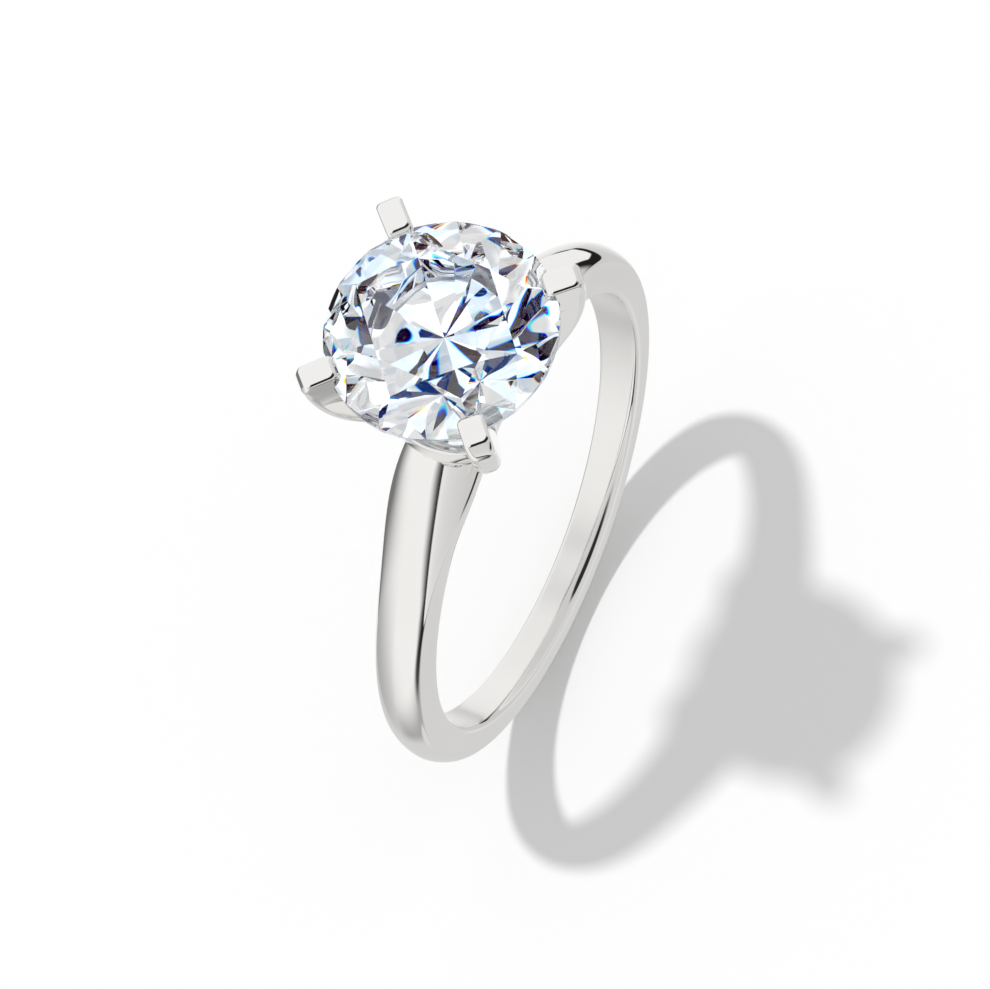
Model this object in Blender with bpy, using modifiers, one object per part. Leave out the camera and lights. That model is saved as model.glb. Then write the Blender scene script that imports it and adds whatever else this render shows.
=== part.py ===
# Solitaire ring: a plain shank that widens into its shoulders, and a four-claw head with a
# round brilliant. The origin is the centre of the finger hole, +Z runs up the stone's axis,
# Y is the finger's axis and X runs along the band. All lengths are in metres.

import math

import bmesh
import bpy
from mathutils import Matrix, Vector

# Fit between pieces that are soldered or set against each other
FIT_GAP = 0.00003

# Shank: widths and thickness at its lowest point, and what they gain towards the stone.
# Each shoulder swells by the flare at its angle from the stone's axis and fades either side.
FINGER_HOLE_DIAMETER = 0.0169
SHANK_INNER_WIDTH = 0.00127
SHANK_INNER_WIDENING = 0.00081
SHANK_WIDTH = 0.00136
SHANK_WIDENING = 0.00059
SHOULDER_FLARE = 0.00128
SHOULDER_ANGLE = 19.5
SHOULDER_SPREAD = 17.0
SHANK_THICKNESS = 0.00163
SHANK_TOP_THICKENING = 0.00015
SHANK_SIDE_THINNING = 0.00058
SIDE_WALL_SHARE = 0.75
DOME_FULLNESS = 1.67
SHANK_SECTIONS = 96
DOME_STEPS = 10
SIDE_STEPS = 3

# Flat that is filed on top of the shank for the head, and the peg's hole in it
SEAT_DEPTH = 0.00013
PEG_DIAMETER = 0.0016
PEG_LENGTH = 0.0013
PEG_CHAMFER = 0.00012

# Collar at the foot of the head: a dished disc, scalloped on both sides of the shank
COLLAR_DIAMETER = 0.0057
COLLAR_HEIGHT = 0.00085
COLLAR_RIM = 0.00055
COLLAR_FLOOR = 0.0003
COLLAR_WAIST = 0.0028
COLLAR_SCALLOP_DIAMETER = 0.0052
COLLAR_ROUNDING = 0.0001

# Round brilliant: its girdle's diameter, and its cut as shares of that diameter and angles
STONE_DIAMETER = 0.0081
GIRDLE_THICKNESS = 0.00026
TABLE_SHARE = 0.595
STAR_SHARE = 0.5
LOWER_HALF_SHARE = 0.77
CROWN_ANGLE = 34.5
PAVILION_ANGLE = 40.75
FACET_TURN = 18.0
GIRDLE_FACETS = 64
CULET_CLEARANCE = 0.00015

# Claws: blades with flat tips, each filed and set by hand: its angle about the stone's axis,
# and how far its back stands out from the stone
CLAW_WIDTH = 0.00089
CLAW_OVERLAP = 0.0003
CLAW_NOSE = 0.00018
CLAW_TIP_THICKNESS = 0.00016
CLAW_TIP_ROUNDING = 0.0002
CLAW_CURVE_RISE = 0.0004
CLAW_SEAT_DEPTH = 0.0005
CLAW_SEAT_DROP = 0.0006
CLAW_FOOT_DEPTH = 0.00095
CLAW_ROUNDING = 0.00011
CLAW_CURVE_STEPS = 8
CLAWS = {
    "claw_back_right": (44.8, 0.00116),
    "claw_back_left": (134.9, 0.00106),
    "claw_front_left": (221.3, 0.00098),
    "claw_front_right": (310.3, 0.00107),
}

# Rail that ties the claws together under the stone
RAIL_DROP = 0.0015
RAIL_HEIGHT = 0.0006
RAIL_WALL = 0.00045
RAIL_ROUNDING = 0.00012

TURNED_SEGMENTS = 64
MERGE_DISTANCE = 1e-7
SHARP_ANGLE = math.radians(35)

# Heights and radii that follow from the sizes above
hole_radius = FINGER_HOLE_DIAMETER / 2
seat_height = hole_radius + SHANK_THICKNESS + SHANK_TOP_THICKENING - SEAT_DEPTH
collar_radius = COLLAR_DIAMETER / 2
collar_bottom = seat_height + FIT_GAP
collar_top = collar_bottom + COLLAR_HEIGHT
collar_floor_top = collar_bottom + COLLAR_FLOOR
claw_foot_radius = collar_radius - CLAW_FOOT_DEPTH
stone_radius = STONE_DIAMETER / 2
crown_slope = math.tan(math.radians(CROWN_ANGLE))
pavilion_slope = math.tan(math.radians(PAVILION_ANGLE))
culet_height = collar_top + CULET_CLEARANCE
girdle_bottom = culet_height + stone_radius * pavilion_slope
girdle_top = girdle_bottom + GIRDLE_THICKNESS
girdle_height = (girdle_bottom + girdle_top) / 2
half_step = math.radians(22.5)


# ---- helpers ----

def principled(name, colour, metallic, roughness, ior=1.5, transmission=0.0):
    material = bpy.data.materials.new(name)
    material.use_nodes = True
    shader = material.node_tree.nodes["Principled BSDF"]
    shader.inputs["Base Color"].default_value = (*colour, 1.0)
    shader.inputs["Metallic"].default_value = metallic
    shader.inputs["Roughness"].default_value = roughness
    shader.inputs["IOR"].default_value = ior
    shader.inputs["Transmission Weight"].default_value = transmission
    material.diffuse_color = (*colour, 1.0)
    return material


def add_object(name, mesh, collection, material=None):
    piece = bpy.data.objects.new(name, mesh)
    collection.objects.link(piece)
    if material is not None:
        mesh.materials.append(material)
    return piece


def add_cutter(name, mesh):
    cutter = add_object(name, mesh, cutters)
    cutter.hide_render = True
    cutter.display_type = "WIRE"
    return cutter


def mesh_from(build_shape, name):
    shape = bmesh.new()
    build_shape(shape)
    mesh = bpy.data.meshes.new(name)
    shape.to_mesh(mesh)
    shape.free()
    return mesh


def block_mesh(name, size, middle):
    def build_block(shape):
        bmesh.ops.create_cube(shape, size=1.0)
        bmesh.ops.scale(shape, vec=size, verts=shape.verts)
        bmesh.ops.translate(shape, vec=middle, verts=shape.verts)

    return mesh_from(build_block, name)


def cut(piece, cutter):
    boolean = piece.modifiers.new("cut " + cutter.name, "BOOLEAN")
    boolean.operation = "DIFFERENCE"
    boolean.solver = "EXACT"
    boolean.object = cutter


def round_edges(piece, width, segments=2):
    bevel = piece.modifiers.new("rounded edges", "BEVEL")
    bevel.width = width
    bevel.segments = segments
    bevel.limit_method = "ANGLE"
    bevel.angle_limit = SHARP_ANGLE


def turned_mesh(name, profile):
    # Outline in radius and height, listed down the outer side and back up the inner side
    def build_outline(shape):
        corners = [shape.verts.new((radius, 0.0, height)) for radius, height in profile]
        for start, end in zip(corners, corners[1:] + corners[:1]):
            if start.co.x > 0.0 or end.co.x > 0.0:
                shape.edges.new((start, end))

    return mesh_from(build_outline, name)


def turn(piece, segments=TURNED_SEGMENTS):
    screw = piece.modifiers.new("turned", "SCREW")
    screw.steps = segments
    screw.render_steps = segments
    screw.use_merge_vertices = True
    screw.merge_threshold = MERGE_DISTANCE
    screw.use_smooth_shade = True


# ---- shank ----

def shank_half_width(turn_angle):
    share = (1 + math.sin(turn_angle)) / 2
    from_stone = math.degrees(math.acos(math.sin(turn_angle)))
    shoulders = 0.0
    for offset in (from_stone - SHOULDER_ANGLE, from_stone + SHOULDER_ANGLE):
        shoulders += math.exp(-(offset / SHOULDER_SPREAD) ** 2)
    return (SHANK_WIDTH + SHANK_WIDENING * share + SHOULDER_FLARE * shoulders) / 2


def shank_section(turn_angle):
    # Half section at an angle round the band, from its inner flat up its side wall and over
    # its low dome, as pairs of distance from the middle plane and height above the hole
    share = (1 + math.sin(turn_angle)) / 2
    inner_half = (SHANK_INNER_WIDTH + SHANK_INNER_WIDENING * share) / 2
    outer_half = shank_half_width(turn_angle)
    thickening = SHANK_TOP_THICKENING * share - SHANK_SIDE_THINNING * share * (1 - share)
    thickness = SHANK_THICKNESS + thickening
    wall_height = SIDE_WALL_SHARE * thickness
    section = []
    for step in range(SIDE_STEPS):
        rise = step / SIDE_STEPS
        width = outer_half - (outer_half - inner_half) * (1 - rise) ** 2
        section.append((width, wall_height * rise))
    for step in range(DOME_STEPS):
        bend = math.pi / 2 * step / DOME_STEPS
        width = outer_half * math.cos(bend) ** (2 / DOME_FULLNESS)
        rise = math.sin(bend) ** (2 / DOME_FULLNESS)
        section.append((width, wall_height + (thickness - wall_height) * rise))
    section.append((0.0, thickness))
    return section


def build_shank(shape):
    rings = []
    for index in range(SHANK_SECTIONS):
        turn_angle = 2 * math.pi * index / SHANK_SECTIONS
        half = shank_section(turn_angle)
        outline = half + [(-width, height) for width, height in reversed(half[:-1])]
        ring = []
        for width, height in outline:
            radius = hole_radius + height
            place = (radius * math.cos(turn_angle), width, radius * math.sin(turn_angle))
            ring.append(shape.verts.new(place))
        rings.append(ring)
    for ring, following in zip(rings, rings[1:] + rings[:1]):
        for index, corner in enumerate(ring):
            beside = (index + 1) % len(ring)
            shape.faces.new((corner, ring[beside], following[beside], following[index]))
    bmesh.ops.recalc_face_normals(shape, faces=shape.faces)


def seat_cutter_mesh():
    # Everything above the flat that is filed for the head
    size = (2 * COLLAR_DIAMETER, 2 * COLLAR_DIAMETER, COLLAR_DIAMETER)
    return block_mesh("head seat", size, (0.0, 0.0, seat_height + size[2] / 2))


def peg_cutter_mesh():
    hole_depth = PEG_LENGTH - COLLAR_FLOOR
    length = 2 * hole_depth

    def build_drill(shape):
        bmesh.ops.create_cone(
            shape, cap_ends=True, segments=TURNED_SEGMENTS // 2,
            radius1=PEG_DIAMETER / 2 + FIT_GAP, radius2=PEG_DIAMETER / 2 + FIT_GAP, depth=length)
        middle = seat_height - hole_depth - FIT_GAP + length / 2
        bmesh.ops.translate(shape, vec=(0.0, 0.0, middle), verts=shape.verts)

    return mesh_from(build_drill, "peg hole")


def make_shank():
    metal = principled("shank metal", (0.83, 0.82, 0.80), 1.0, 0.06)
    shank = add_object("shank", mesh_from(build_shank, "shank"), parts, metal)
    cut(shank, add_cutter("head_seat_cutter", seat_cutter_mesh()))
    cut(shank, add_cutter("peg_hole_cutter", peg_cutter_mesh()))
    shank.data.shade_smooth()
    shank.data.set_sharp_from_angle(angle=SHARP_ANGLE)


# ---- head: peg, collar and rail ----

def make_peg():
    top = collar_floor_top
    bottom = top - PEG_LENGTH
    radius = PEG_DIAMETER / 2
    profile = [
        (0.0, top), (radius, top), (radius, bottom + PEG_CHAMFER),
        (radius - PEG_CHAMFER, bottom), (0.0, bottom),
    ]
    metal = principled("peg metal", (0.80, 0.79, 0.77), 1.0, 0.15)
    peg = add_object("head_peg", turned_mesh("head_peg", profile), parts, metal)
    turn(peg, TURNED_SEGMENTS // 2)


def notch_mesh():
    # Slot for one claw's foot, through the collar's rim down to its floor
    size = (COLLAR_DIAMETER, CLAW_WIDTH + 2 * FIT_GAP, 2 * COLLAR_HEIGHT)
    start = claw_foot_radius - FIT_GAP
    return block_mesh("claw notch", size, (start + size[0] / 2, 0.0, collar_floor_top + size[2] / 2))


def scallop_mesh(side):
    # What is filed off one side of the collar, between the feet of two claws
    radius = COLLAR_SCALLOP_DIAMETER / 2

    def build_file(shape):
        bmesh.ops.create_cone(
            shape, cap_ends=True, segments=TURNED_SEGMENTS,
            radius1=radius, radius2=radius, depth=4 * COLLAR_HEIGHT)
        place = (0.0, side * (COLLAR_WAIST / 2 + radius), (collar_bottom + collar_top) / 2)
        bmesh.ops.translate(shape, vec=place, verts=shape.verts)

    return mesh_from(build_file, "collar scallop")


def make_collar():
    bore = PEG_DIAMETER / 2 + FIT_GAP
    profile = [
        (collar_radius, collar_top), (collar_radius, collar_bottom), (bore, collar_bottom),
        (bore, collar_floor_top), (collar_radius - COLLAR_RIM, collar_top),
    ]
    metal = principled("collar metal", (0.82, 0.81, 0.79), 1.0, 0.07)
    collar = add_object("head_collar", turned_mesh("head_collar", profile), parts, metal)
    turn(collar)
    round_edges(collar, COLLAR_ROUNDING)
    for name, side in (("front", -1), ("back", 1)):
        cut(collar, add_cutter("collar_scallop_" + name, scallop_mesh(side)))
    notch = notch_mesh()
    for claw_name, (angle, _) in CLAWS.items():
        cutter = add_cutter("notch_cutter_" + claw_name, notch)
        cutter.rotation_euler.z = math.radians(angle)
        cut(collar, cutter)


def claw_inner_radius(height):
    # Inner edge of a claw's blade between the stone's seat and the collar's floor
    upper = (stone_radius - CLAW_SEAT_DEPTH, girdle_height - CLAW_SEAT_DROP)
    lower = (claw_foot_radius, collar_floor_top)
    share = (height - lower[1]) / (upper[1] - lower[1])
    return lower[0] + (upper[0] - lower[0]) * share


def make_rail():
    top = girdle_height - RAIL_DROP
    bottom = top - RAIL_HEIGHT
    outer_top = claw_inner_radius(top) - FIT_GAP
    outer_bottom = claw_inner_radius(bottom) - FIT_GAP
    profile = [
        (outer_top, top), (outer_bottom, bottom),
        (outer_bottom - RAIL_WALL, bottom), (outer_top - RAIL_WALL, top),
    ]
    metal = principled("rail metal", (0.81, 0.80, 0.78), 1.0, 0.08)
    rail = add_object("gallery_rail", turned_mesh("gallery_rail", profile), parts, metal)
    turn(rail)
    round_edges(rail, RAIL_ROUNDING, segments=1)


# ---- stone ----

def facet_point(azimuth, radius, height):
    return Vector((radius * math.cos(azimuth), radius * math.sin(azimuth), height))


def table_radius():
    return stone_radius * TABLE_SHARE


def table_height():
    return girdle_top + (stone_radius - table_radius()) * crown_slope


def star_tip():
    # Where a star facet ends on the ridge between two kite facets
    table_edge = table_radius() * math.cos(half_step)
    radius = table_edge + STAR_SHARE * (stone_radius - table_edge)
    height = girdle_top + (stone_radius - radius * math.cos(half_step)) * crown_slope
    return radius, height


def lower_half_tip():
    # Where two lower halves end on the ridge between two pavilion mains
    radius = stone_radius * (1 - LOWER_HALF_SHARE)
    height = girdle_bottom - (stone_radius - radius * math.cos(half_step)) * pavilion_slope
    return radius, height


def facet_planes():
    # Three points on each facet of one eighth of the stone, repeated round the axis
    planes = [[facet_point(k, table_radius(), table_height()) for k in (0.0, 2.0, 4.0)]]
    for eighth in range(8):
        middle = 2 * half_step * eighth
        kite_side = middle + math.pi / 2
        across = facet_point(kite_side, stone_radius, 0.0)
        for rim, tip in ((girdle_top, table_height()), (girdle_bottom, culet_height)):
            edge = facet_point(middle, stone_radius, rim)
            inner = table_radius() if rim == girdle_top else 0.0
            planes.append([edge, edge + across, facet_point(middle, inner, tip)])
        ridge = middle + half_step
        following = middle + 2 * half_step
        planes.append([
            facet_point(middle, table_radius(), table_height()),
            facet_point(following, table_radius(), table_height()),
            facet_point(ridge, *star_tip()),
        ])
        for rim, tip in ((girdle_top, star_tip()), (girdle_bottom, lower_half_tip())):
            for corner in (middle, following):
                planes.append([
                    facet_point(corner, stone_radius, rim),
                    facet_point(ridge, stone_radius, rim),
                    facet_point(ridge, *tip),
                ])
    return planes


def build_stone(shape):
    # A cylinder is ground down by each facet's plane in turn
    depth = 4 * stone_radius
    bmesh.ops.create_cone(
        shape, cap_ends=True, segments=GIRDLE_FACETS,
        radius1=stone_radius, radius2=stone_radius, depth=depth)
    bmesh.ops.translate(shape, vec=(0.0, 0.0, girdle_height), verts=shape.verts)
    centre = Vector((0.0, 0.0, girdle_height))
    for corner, second, third in facet_planes():
        normal = (second - corner).cross(third - corner).normalized()
        if normal.dot(corner - centre) < 0:
            normal.negate()
        bmesh.ops.bisect_plane(
            shape, geom=shape.verts[:] + shape.edges[:] + shape.faces[:], dist=MERGE_DISTANCE,
            plane_co=corner, plane_no=normal, clear_outer=True)
        rim_edges = [edge for edge in shape.edges if edge.is_boundary]
        if rim_edges:
            bmesh.ops.contextual_create(shape, geom=rim_edges)
    bmesh.ops.remove_doubles(shape, verts=shape.verts, dist=MERGE_DISTANCE)
    bmesh.ops.recalc_face_normals(shape, faces=shape.faces)
    bmesh.ops.rotate(shape, matrix=Matrix.Rotation(math.radians(FACET_TURN), 3, "Z"), verts=shape.verts)


def make_stone():
    glassy = principled("diamond", (1.0, 1.0, 1.0), 0.0, 0.0, ior=2.417, transmission=1.0)
    add_object("centre_diamond", mesh_from(build_stone, "centre_diamond"), parts, glassy)


# ---- claws ----

def seat_cutter_profile():
    # The stone's widest outline as it turns, grown by the fit, as a setting burr has it
    tip_radius, tip_height = star_tip()
    lower_radius, lower_height = lower_half_tip()
    return [
        (0.0, table_height() + FIT_GAP),
        (table_radius() + FIT_GAP, table_height() + FIT_GAP),
        (tip_radius + FIT_GAP, tip_height + FIT_GAP),
        (stone_radius + FIT_GAP, girdle_top + FIT_GAP),
        (stone_radius + FIT_GAP, girdle_bottom - FIT_GAP),
        (lower_radius + FIT_GAP, lower_height - FIT_GAP),
        (0.0, culet_height - FIT_GAP),
    ]


def claw_outline(reach_out):
    # Outline in radius and height: nose, flat tip, curved back, straight shin and foot
    back_radius = stone_radius + reach_out
    curve_height = girdle_height + CLAW_CURVE_RISE
    foot_height = collar_floor_top + FIT_GAP
    nose_radius = stone_radius - CLAW_OVERLAP - CLAW_NOSE
    tip_radius, tip_height = star_tip()
    crown_rise = (tip_height - girdle_top) / (stone_radius - tip_radius)
    nose_height = girdle_top + (stone_radius - nose_radius) * crown_rise
    tip_top = nose_height + CLAW_TIP_THICKNESS
    # The shin leaves the curve where a line from the foot touches it
    reach = math.hypot(collar_radius, curve_height - foot_height)
    to_foot = math.atan2(curve_height - foot_height, collar_radius)
    lean = to_foot - math.acos(back_radius / reach)
    outline = [
        (nose_radius, nose_height - CLAW_NOSE),
        (nose_radius, nose_height),
        (stone_radius - CLAW_OVERLAP, tip_top),
        (back_radius - CLAW_TIP_ROUNDING, tip_top),
    ]
    for step in range(CLAW_CURVE_STEPS + 1):
        bend = lean * step / CLAW_CURVE_STEPS
        outline.append((back_radius * math.cos(bend), curve_height - back_radius * math.sin(bend)))
    inner_top = girdle_height - CLAW_SEAT_DROP
    outline += [
        (collar_radius, foot_height),
        (claw_inner_radius(foot_height), foot_height),
        (claw_inner_radius(inner_top), inner_top),
    ]
    return outline


def claw_mesh(reach_out, metal):
    flat = bpy.data.curves.new("claw outline", "CURVE")
    flat.dimensions = "2D"
    flat.fill_mode = "BOTH"
    flat.extrude = CLAW_WIDTH / 2
    points = claw_outline(reach_out)
    spline = flat.splines.new("POLY")
    spline.points.add(len(points) - 1)
    for point, (radius, height) in zip(spline.points, points):
        point.co = (radius, height, 0.0, 1.0)
    spline.use_cyclic_u = True
    blank = add_object("claw outline", flat, cutters)
    blank.rotation_euler.x = math.pi / 2
    bpy.context.view_layer.update()
    placed = blank.evaluated_get(bpy.context.evaluated_depsgraph_get())
    mesh = bpy.data.meshes.new_from_object(placed)
    mesh.transform(blank.matrix_world)
    mesh.name = "claw"
    bpy.data.objects.remove(blank)
    shape = bmesh.new()
    shape.from_mesh(mesh)
    bmesh.ops.remove_doubles(shape, verts=shape.verts, dist=MERGE_DISTANCE)
    bmesh.ops.dissolve_limit(
        shape, angle_limit=math.radians(0.1), verts=shape.verts, edges=shape.edges)
    bmesh.ops.recalc_face_normals(shape, faces=shape.faces)
    shape.to_mesh(mesh)
    shape.free()
    mesh.materials.append(metal)
    return mesh


def make_claws():
    seat = add_cutter("stone_seat_cutter", turned_mesh("stone seat", seat_cutter_profile()))
    turn(seat)
    metal = principled("claw metal", (0.84, 0.83, 0.81), 1.0, 0.05)
    for claw_name, (angle, reach_out) in CLAWS.items():
        claw = add_object(claw_name, claw_mesh(reach_out, metal), parts)
        claw.rotation_euler.z = math.radians(angle)
        round_edges(claw, CLAW_ROUNDING)
        cut(claw, seat)


# ---- build ----

for old in list(bpy.data.objects):
    bpy.data.objects.remove(old, do_unlink=True)

parts = bpy.data.collections.new("solitaire_ring")
cutters = bpy.data.collections.new("cutters")
for collection in (parts, cutters):
    bpy.context.scene.collection.children.link(collection)

make_shank()
make_peg()
make_collar()
make_rail()
make_stone()
make_claws()
bpy.context.view_layer.update()
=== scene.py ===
import math

import bmesh
import bpy
from mathutils import Matrix, Vector


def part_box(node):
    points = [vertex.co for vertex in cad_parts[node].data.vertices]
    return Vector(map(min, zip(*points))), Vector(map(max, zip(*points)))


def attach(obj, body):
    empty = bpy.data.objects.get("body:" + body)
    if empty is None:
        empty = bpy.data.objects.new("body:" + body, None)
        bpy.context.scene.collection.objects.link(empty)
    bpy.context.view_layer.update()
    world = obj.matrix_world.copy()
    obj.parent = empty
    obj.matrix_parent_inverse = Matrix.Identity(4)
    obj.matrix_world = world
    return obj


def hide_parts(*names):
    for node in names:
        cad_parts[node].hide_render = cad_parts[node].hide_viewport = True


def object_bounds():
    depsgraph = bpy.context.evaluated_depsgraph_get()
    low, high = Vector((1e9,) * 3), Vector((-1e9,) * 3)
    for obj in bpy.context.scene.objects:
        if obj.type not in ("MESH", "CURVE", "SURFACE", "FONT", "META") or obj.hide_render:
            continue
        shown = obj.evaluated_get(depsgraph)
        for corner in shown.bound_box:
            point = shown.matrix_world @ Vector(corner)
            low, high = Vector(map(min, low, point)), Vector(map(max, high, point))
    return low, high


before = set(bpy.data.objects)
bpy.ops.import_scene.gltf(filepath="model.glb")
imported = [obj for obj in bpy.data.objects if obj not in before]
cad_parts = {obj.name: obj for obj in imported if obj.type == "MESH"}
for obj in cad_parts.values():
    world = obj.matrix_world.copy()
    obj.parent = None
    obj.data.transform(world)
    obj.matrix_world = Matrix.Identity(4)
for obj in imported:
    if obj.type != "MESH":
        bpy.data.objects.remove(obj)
cadBox = [list(corner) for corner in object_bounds()]
print("frame loaded with", len(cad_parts), "nodes")

millimetre = 0.001
weldDistance = 1e-7
fitGap = 0.03 * millimetre
bevelledAngle = math.radians(28.0)
bevelSteps = 4
halfStep = math.radians(22.5)
nodesPerRow = 10
nodeSpacing = (220, 240)


# Node trees, where arithmetic on sockets is written as plain arithmetic

class Wire:
    def __init__(self, net, socket):
        self.net = net
        self.socket = socket

    def to(self, operation, *others):
        return self.net.maths(operation, self, *others)

    def __add__(self, other):
        return self.net.maths("ADD", self, other)

    def __radd__(self, other):
        return self.net.maths("ADD", other, self)

    def __sub__(self, other):
        return self.net.maths("SUBTRACT", self, other)

    def __rsub__(self, other):
        return self.net.maths("SUBTRACT", other, self)

    def __mul__(self, other):
        return self.net.maths("MULTIPLY", self, other)

    def __rmul__(self, other):
        return self.net.maths("MULTIPLY", other, self)

    def __truediv__(self, other):
        return self.net.maths("DIVIDE", self, other)

    def __rtruediv__(self, other):
        return self.net.maths("DIVIDE", other, self)

    def __pow__(self, other):
        return self.net.maths("POWER", self, other)

    def __neg__(self):
        return self.net.maths("MULTIPLY", self, -1.0)

    def held(self, low=0.0, high=1.0):
        return self.to("MAXIMUM", low).to("MINIMUM", high)

    def eased(self, start, end):
        settings = {"interpolation_type": "SMOOTHSTEP"}
        sockets = {"Value": self, "From Min": start, "From Max": end}
        return self.net.add("ShaderNodeMapRange", settings, sockets)[0]


class Made:
    # A node whose outputs are read by name or number
    def __init__(self, net, node):
        self.net = net
        self.node = node

    def __getitem__(self, key):
        return Wire(self.net, self.node.outputs[key])


class Net:
    def __init__(self, tree):
        self.tree = tree

    def add(self, kind, settings=None, sockets=None):
        node = self.tree.nodes.new(kind)
        row, column = divmod(len(self.tree.nodes), nodesPerRow)
        node.location = (column * nodeSpacing[0], -row * nodeSpacing[1])
        for name, value in (settings or {}).items():
            setattr(node, name, value)
        for key, value in (sockets or {}).items():
            if isinstance(value, Wire):
                self.tree.links.new(value.socket, node.inputs[key])
            else:
                node.inputs[key].default_value = value
        return Made(self, node)

    def maths(self, operation, *values):
        return self.add("ShaderNodeMath", {"operation": operation}, dict(enumerate(values)))[0]

    def mixColour(self, factor, first, second):
        sockets = {"Factor": factor, 6: first, 7: second}
        return self.add("ShaderNodeMix", {"data_type": "RGBA"}, sockets)[2]

    def pick(self, test, whenTrue, whenFalse):
        settings = {"input_type": "FLOAT"}
        sockets = {"Switch": test, "True": whenTrue, "False": whenFalse}
        return self.add("GeometryNodeSwitch", settings, sockets)[0]


# Objects, meshes and materials

def addObject(name, data):
    thing = bpy.data.objects.new(name, data)
    bpy.context.scene.collection.objects.link(thing)
    return thing


def finishMesh(shape, name):
    mesh = bpy.data.meshes.new(name)
    shape.to_mesh(mesh)
    shape.free()
    return mesh


def newMaterial(name):
    material = bpy.data.materials.new(name)
    material.use_nodes = True
    material.node_tree.nodes.clear()
    return material, Net(material.node_tree)


# Geometry node trees

def newShapeTree(name, inputs):
    # Named number inputs and a material, with the result going to the group output
    tree = bpy.data.node_groups.new(name, "GeometryNodeTree")
    tree.interface.new_socket("Geometry", in_out="OUTPUT", socket_type="NodeSocketGeometry")
    for label, value in inputs.items():
        kind = "NodeSocketInt" if isinstance(value, int) else "NodeSocketFloat"
        item = tree.interface.new_socket(label, in_out="INPUT", socket_type=kind)
        item.default_value = value
    tree.interface.new_socket("Material", in_out="INPUT", socket_type="NodeSocketMaterial")
    net = Net(tree)
    return net, net.add("NodeGroupInput")


def closeShapeTree(net, given, grid, place, flip=False):
    # The grid's points are moved, its seams are welded, and it takes its material
    moved = net.add("GeometryNodeSetPosition", None, {"Geometry": grid, "Position": place})[0]
    sockets = {"Geometry": moved, "Distance": weldDistance}
    shape = net.add("GeometryNodeMergeByDistance", None, sockets)[0]
    if flip:
        shape = net.add("GeometryNodeFlipFaces", None, {"Mesh": shape})[0]
    shape = net.add("GeometryNodeSetShadeSmooth", None, {"Geometry": shape, "Shade Smooth": True})[0]
    shape = net.add("GeometryNodeRealizeInstances", None, {"Geometry": shape})[0]
    sockets = {"Geometry": shape, "Material": given["Material"]}
    shape = net.add("GeometryNodeSetMaterial", None, sockets)[0]
    net.add("NodeGroupOutput", None, {"Geometry": shape})


def gridCoordinates(net, columns, rows):
    # A grid of points and each point's share of the way along it and across it
    sockets = {"Size X": 1.0, "Size Y": 1.0, "Vertices X": columns, "Vertices Y": rows}
    grid = net.add("GeometryNodeMeshGrid", None, sockets)["Mesh"]
    place = net.add("GeometryNodeInputPosition")[0]
    parts = net.add("ShaderNodeSeparateXYZ", None, {0: place})
    return grid, parts["X"] + 0.5, parts["Y"] + 0.5


def shapeFromTree(name, tree, values, material):
    # Runs a tree on an empty object and keeps the result as a plain mesh
    holder = addObject(name, bpy.data.meshes.new(name + " holder"))
    modifier = holder.modifiers.new(tree.name, "NODES")
    modifier.node_group = tree
    for item in tree.interface.items_tree:
        if item.in_out == "INPUT" and item.name in values:
            modifier[item.identifier] = values[item.name]
        if item.in_out == "INPUT" and item.name == "Material":
            modifier[item.identifier] = material
    bpy.context.view_layer.update()
    evaluated = holder.evaluated_get(bpy.context.evaluated_depsgraph_get())
    mesh = bpy.data.meshes.new_from_object(evaluated)
    mesh.name = name
    bpy.data.objects.remove(holder)
    return mesh


def addPiece(name, mesh, slot, *nodes):
    # A finished piece stands for its CAD nodes and rides on the ring's one body
    piece = addObject(name, mesh)
    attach(piece, "root")
    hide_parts(*nodes)
    return piece


# Metal finishes

cloudRange = (0.3, 0.7)
roughnessRange = (0.01, 0.6)


def boreMask(net, place, values):
    # 1 on the flat face of the finger hole, 0 on the rest of the band
    axes = net.add("ShaderNodeSeparateXYZ", None, {0: place})
    height = (axes["X"] * axes["X"] + axes["Z"] * axes["Z"]).to("SQRT") - values["boreRadius"]
    return height.eased(values["boreEnd"], values["boreStart"])


def makeMetal(name, values):
    material, net = newMaterial(name)
    place = net.add("ShaderNodeTexCoord")["Object"]
    cloud = net.add("ShaderNodeTexNoise", None, {
        "Vector": place, "Scale": values["cloudScale"], "Detail": 3.0, "Roughness": 0.5})[0]
    streaks = net.add("ShaderNodeMapping", None, {
        "Vector": place, "Scale": values["polishStretch"]})[0]
    polish = net.add("ShaderNodeTexNoise", None, {
        "Vector": streaks, "Scale": values["polishScale"], "Detail": 4.0, "Roughness": 0.6})[0]
    share = cloud.eased(*cloudRange)
    colour = net.mixColour(share, (*values["colour"], 1.0), (*values["tint"], 1.0))
    roughness = values["roughness"] + values["roughnessSpread"] * (cloud - 0.5) \
        + values["polishSpread"] * (polish - 0.5)
    if "boreRadius" in values:
        roughness = roughness + boreMask(net, place, values) * values["boreRoughness"]
    bump = net.add("ShaderNodeBump", None, {
        "Strength": values["polishStrength"], "Distance": values["polishDepth"], "Height": polish})[0]
    shader = net.add("ShaderNodeBsdfPrincipled", None, {
        "Base Color": colour, "Metallic": 1.0, "Roughness": roughness.held(*roughnessRange),
        "Normal": bump})[0]
    net.add("ShaderNodeOutputMaterial", None, {"Surface": shader})
    return material


# Shank

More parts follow.
